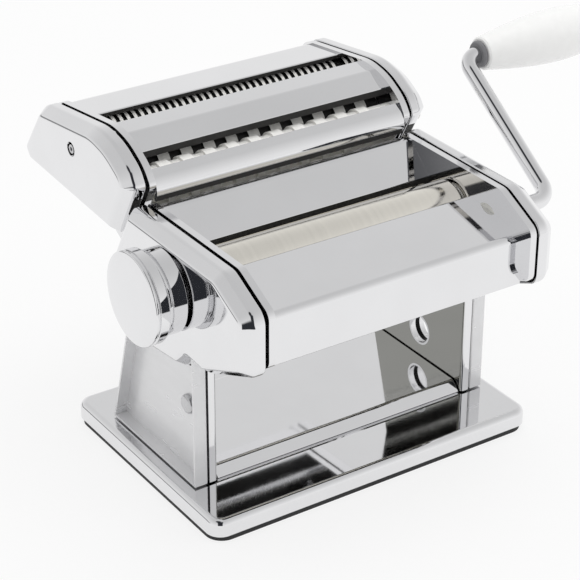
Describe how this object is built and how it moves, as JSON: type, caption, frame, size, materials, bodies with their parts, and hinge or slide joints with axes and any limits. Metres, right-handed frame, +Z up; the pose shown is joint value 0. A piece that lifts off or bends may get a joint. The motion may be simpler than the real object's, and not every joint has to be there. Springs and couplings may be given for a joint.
{
  "type": "pasta roller machine",
  "caption": "Hand-cranked pasta roller with a gap knob, removable crank and a lift-off cutter unit, on a flat chromed base.",
  "frame": {"origin": "middle of the base's footprint, on the surface it stands on", "axes": "+Z up, +X along the rollers to the crank side, +Y to the back, where the cutter unit hangs"},
  "size_m": [0.317, 0.2115, 0.1842],
  "materials": {
    "chrome": "mirror chrome",
    "steel": "plain turned",
    "nylon": "natural",
    "rubber": "matt black",
    "roller": "satin anodised",
    "ferrule": "grey",
    "white_plastic": "gloss"
  },
  "bodies": {
    "frame": {"base_plate": "chrome", "base_gasket": "rubber", "side_plate_left": "chrome", "side_plate_right": "chrome", "clamp_socket": "chrome", "leg_pan_left": "chrome", "leg_pan_right": "chrome", "leg_screws": "steel", "floor_plate": "chrome", "end_cover_left": "chrome", "end_cover_right": "chrome", "cover_screws": "steel", "front_hood": "chrome", "rear_hood": "chrome", "tie_rods": "steel", "tie_rod_nuts": "steel", "rear_roller_bushes": "nylon", "regulator_bushes": "nylon", "drive_bush": "nylon", "rear_scraper": "nylon", "index_ring": "steel", "cutter_rails": "chrome"},
    "regulator": {"regulator_spindle": "steel", "spindle_head": "steel", "regulator_spring": "steel"},
    "roller_carrier": {"front_roller_carriers": "nylon", "front_scraper": "nylon"},
    "front_roller": {"front_roller": "roller", "front_roller_gear": "steel"},
    "rear_roller": {"rear_roller": "roller", "rear_roller_gear": "steel"},
    "knob": {"knob": "chrome", "knob_cap": "chrome", "index_pin": "steel"},
    "drive": {"drive_gear": "steel"},
    "crank": {"crank_rod": "chrome", "handle_ferrule": "ferrule"},
    "handle": {"crank_handle": "white_plastic"},
    "cutter_unit": {"cutter_guides": "chrome", "cutter_cover_left": "chrome", "cutter_cover_right": "chrome", "cutter_side_left": "chrome", "cutter_side_right": "chrome", "cutter_bushes": "nylon", "cutter_screws": "steel", "cutter_front_strip": "chrome", "cutter_bridge": "chrome", "cutter_rear_hood": "chrome", "cutter_tie_bars": "steel", "wide_combs": "nylon", "thin_combs": "nylon"},
    "wide_roll_front": {"wide_roll_front": "roller", "wide_gear_front": "steel"},
    "wide_roll_rear": {"wide_roll_rear": "roller", "wide_gear_rear": "steel"},
    "thin_roll_front": {"thin_roll_front": "roller", "thin_gear_front": "steel"},
    "thin_roll_rear": {"thin_roll_rear": "roller", "thin_gear_rear": "steel"}
  },
  "joints": [
    {"name": "crank_turn", "type": "hinge", "parent": "frame", "child": "drive", "pos_m": [0, -0.0509, 0.1198], "axis": [1, 0, 0], "continuous": true},
    {"name": "rear_roller_spin", "type": "hinge", "parent": "frame", "child": "rear_roller", "pos_m": [0, 0.01005, 0.115], "axis": [1, 0, 0], "continuous": true},
    {"name": "gap_turn", "type": "hinge", "parent": "frame", "child": "regulator", "pos_m": [0, -0.0205, 0.115], "axis": [1, 0, 0], "range_deg": [0, 180]},
    {"name": "carrier_turn", "type": "hinge", "parent": "regulator", "child": "roller_carrier", "pos_m": [0, -0.02275, 0.115], "axis": [1, 0, 0], "range_deg": [-180, 0]},
    {"name": "front_roller_spin", "type": "hinge", "parent": "roller_carrier", "child": "front_roller", "pos_m": [0, -0.02275, 0.115], "axis": [1, 0, 0], "continuous": true},
    {"name": "knob_pull", "type": "slide", "parent": "regulator", "child": "knob", "axis": [-1, 0, 0], "range_m": [0, 0.004], "stiffness_N_per_m": 900, "springref_m": -0.004, "deforming": ["regulator_spring"]},
    {"name": "crank_pull", "type": "slide", "parent": "drive", "child": "crank", "axis": [1, 0, 0], "range_m": [0, 0.04]},
    {"name": "handle_spin", "type": "hinge", "parent": "crank", "child": "handle", "pos_m": [0, 0.0225, 0.17], "axis": [1, 0, 0], "continuous": true},
    {"name": "cutter_lift", "type": "slide", "parent": "frame", "child": "cutter_unit", "axis": [0, -0.4848, 0.8746], "range_m": [0, 0.06]},
    {"name": "wide_cutter_turn", "type": "hinge", "parent": "cutter_unit", "child": "wide_roll_front", "pos_m": [0, 0.0294, 0.145], "axis": [1, 0, 0], "continuous": true},
    {"name": "wide_mate_spin", "type": "hinge", "parent": "cutter_unit", "child": "wide_roll_rear", "pos_m": [0, 0.045, 0.145], "axis": [1, 0, 0], "continuous": true},
    {"name": "thin_cutter_turn", "type": "hinge", "parent": "cutter_unit", "child": "thin_roll_front", "pos_m": [0, 0.0624, 0.152], "axis": [1, 0, 0], "continuous": true},
    {"name": "thin_mate_spin", "type": "hinge", "parent": "cutter_unit", "child": "thin_roll_rear", "pos_m": [0, 0.078, 0.152], "axis": [1, 0, 0], "continuous": true}
  ],
  "couplings": [
    {"joint": "front_roller_spin", "follows": "crank_turn", "ratio": -1},
    {"joint": "rear_roller_spin", "follows": "crank_turn", "ratio": 1},
    {"joint": "carrier_turn", "follows": "gap_turn", "ratio": -1},
    {"joint": "wide_mate_spin", "follows": "wide_cutter_turn", "ratio": -1},
    {"joint": "thin_mate_spin", "follows": "thin_cutter_turn", "ratio": -1}
  ]
}
